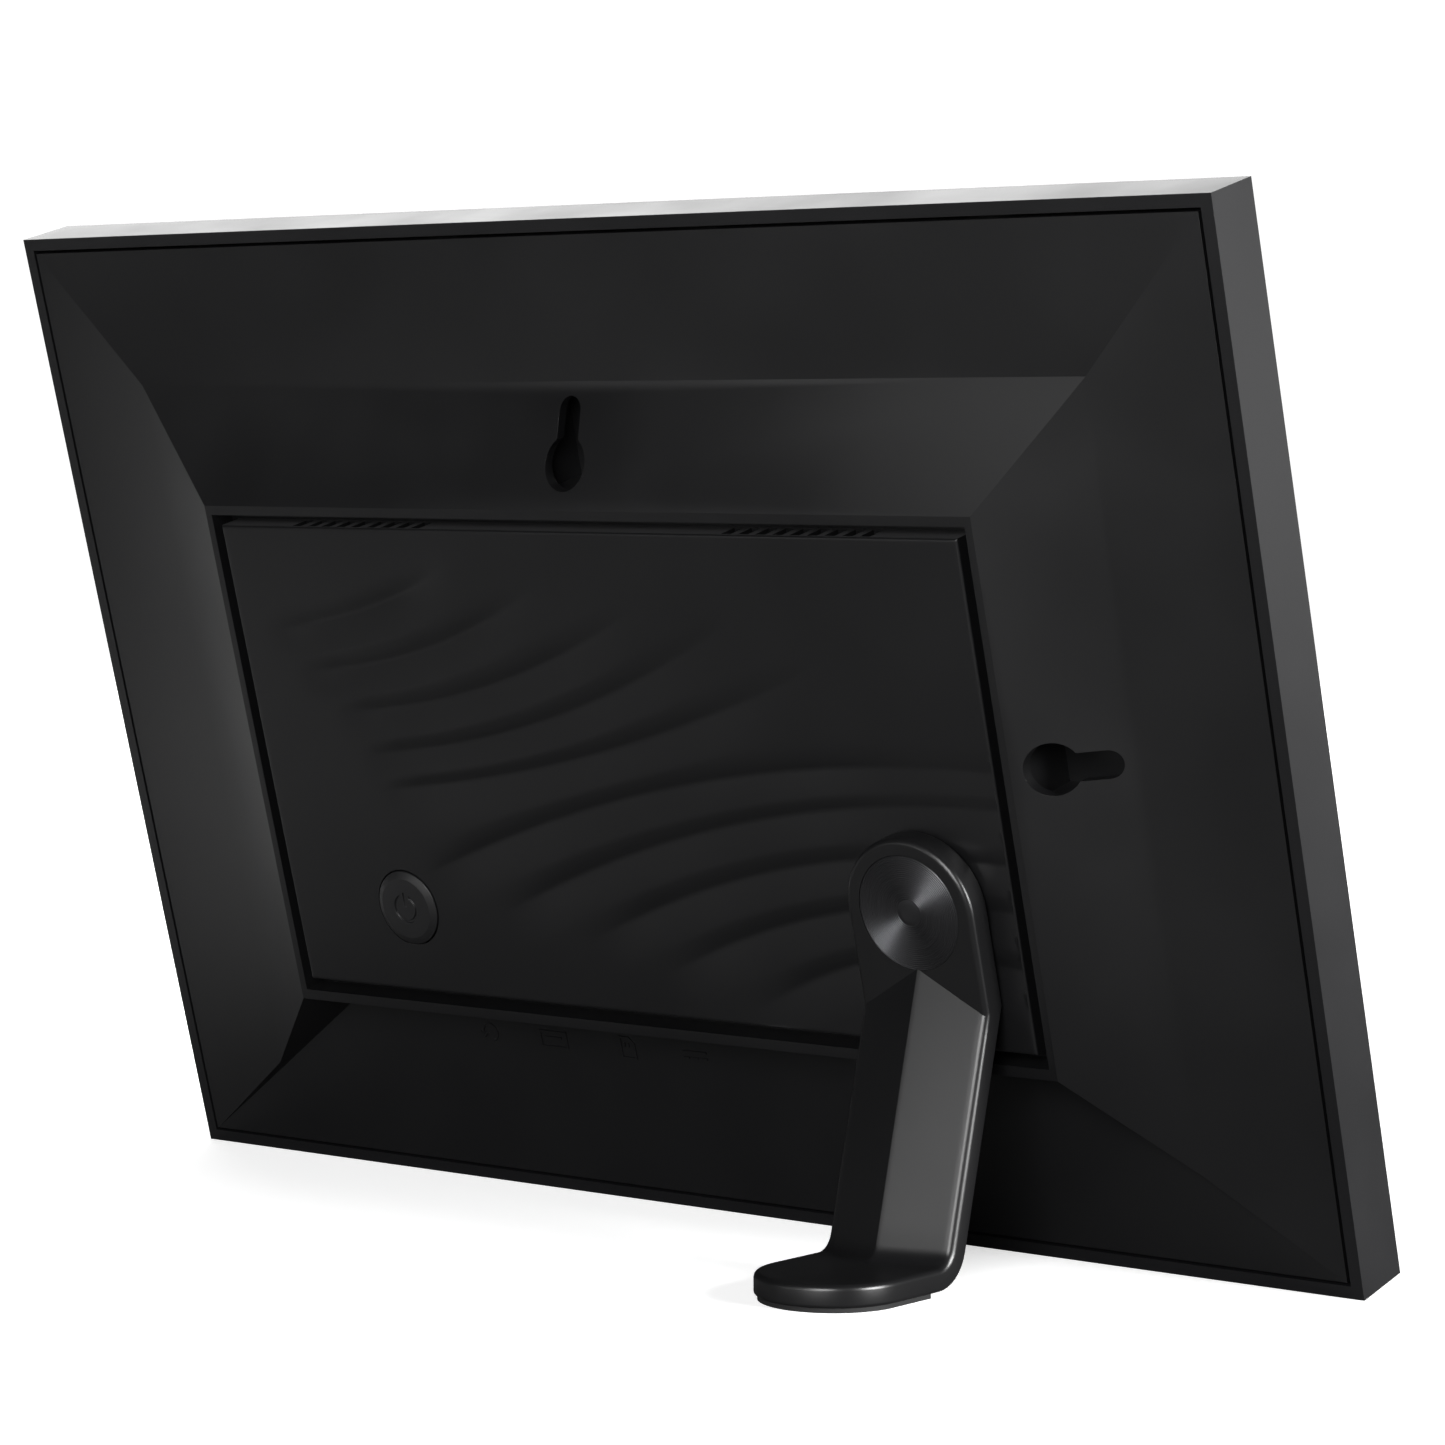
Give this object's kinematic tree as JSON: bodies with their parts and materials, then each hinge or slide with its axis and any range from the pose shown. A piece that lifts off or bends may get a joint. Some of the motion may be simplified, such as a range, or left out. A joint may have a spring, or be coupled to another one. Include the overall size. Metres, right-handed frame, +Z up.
{
  "type": "digital photo frame",
  "caption": "Desktop digital photo frame with a hipped rear cover, a wave-relief panel, hanging keyholes, a power button and a swivelling rear leg.",
  "frame": {"origin": "on the table under the middle of the footprint, from the frame's front edge to the foot's tip", "axes": "+X along the frame's width, to the left when seen from behind; +Y out of the back; +Z up from the table; the screen faces -Y and leans back"},
  "size_m": [0.265, 0.0768, 0.1788],
  "materials": {
    "frame_plastic": "fine matt moulded texture",
    "cover_plastic": "fine matt moulded texture",
    "panel_plastic": "satin moulded",
    "leg_plastic": "matt moulded",
    "button_plastic": "satin moulded",
    "disc_metal": "black anodised, finely turned",
    "pad_rubber": "matt",
    "foam_rubber": "closed-cell foam",
    "screen_glass": "polished, switched off",
    "white_tray": "moulded",
    "zinc_steel": "zinc plated sheet",
    "screw_steel": "plated",
    "socket_steel": "tinned sheet",
    "brass_posts": "turned brass",
    "circuit_board": "solder mask",
    "chip_plastic": "moulded epoxy",
    "ribbon_film": "polyimide film",
    "cable_jacket": "smooth",
    "speaker_paper": "pressed cone"
  },
  "bodies": {
    "frame": {"outer_frame": "frame_plastic", "screen_gasket": "foam_rubber", "touch_glass": "screen_glass", "display_cell": "screen_glass", "backlight": "white_tray", "support_plate": "zinc_steel", "plate_screws": "screw_steel", "board_standoffs": "brass_posts", "cover_posts": "brass_posts", "main_board": "circuit_board", "board_screws": "screw_steel", "processor": "chip_plastic", "memory_chips": "chip_plastic", "wifi_module": "screw_steel", "wifi_antenna": "ribbon_film", "antenna_lead": "cable_jacket", "ribbon_connectors": "white_tray", "display_ribbon": "ribbon_film", "touch_ribbon": "ribbon_film", "power_switch": "chip_plastic", "reset_switch": "chip_plastic", "usb_shell": "socket_steel", "usb_tongue": "white_tray", "card_socket": "socket_steel", "dc_jack": "chip_plastic", "dc_pin": "brass_posts", "speaker_boxes": "chip_plastic", "speaker_cones": "speaker_paper", "speaker_gaskets": "foam_rubber", "rear_cover": "cover_plastic", "cover_screws": "screw_steel", "wave_panel": "panel_plastic", "pivot_bush": "white_tray", "spring_washer": "screw_steel"},
    "leg": {"stand_leg": "leg_plastic", "turned_disc": "disc_metal", "foot_pad": "pad_rubber", "retainer_plate": "screw_steel", "pivot_screw": "screw_steel"},
    "button": {"power_button": "button_plastic"},
    "reset": {"reset_plunger": "white_tray"}
  },
  "joints": [
    {"name": "leg_swivel", "type": "hinge", "parent": "frame", "child": "leg", "pos_m": [-0.0651, 0.00557, 0.06096], "axis": [0, 0.9659, -0.2588], "range_deg": [0, 90]},
    {"name": "button_press", "type": "slide", "parent": "frame", "child": "button", "axis": [0, -0.9659, 0.2588], "range_m": [0, 0.0005], "stiffness_N_per_m": 400, "springref_m": -0.0005},
    {"name": "reset_press", "type": "slide", "parent": "frame", "child": "reset", "axis": [0, 0.2588, 0.9659], "range_m": [0, 0.00025], "stiffness_N_per_m": 200, "springref_m": -0.0005}
  ]
}
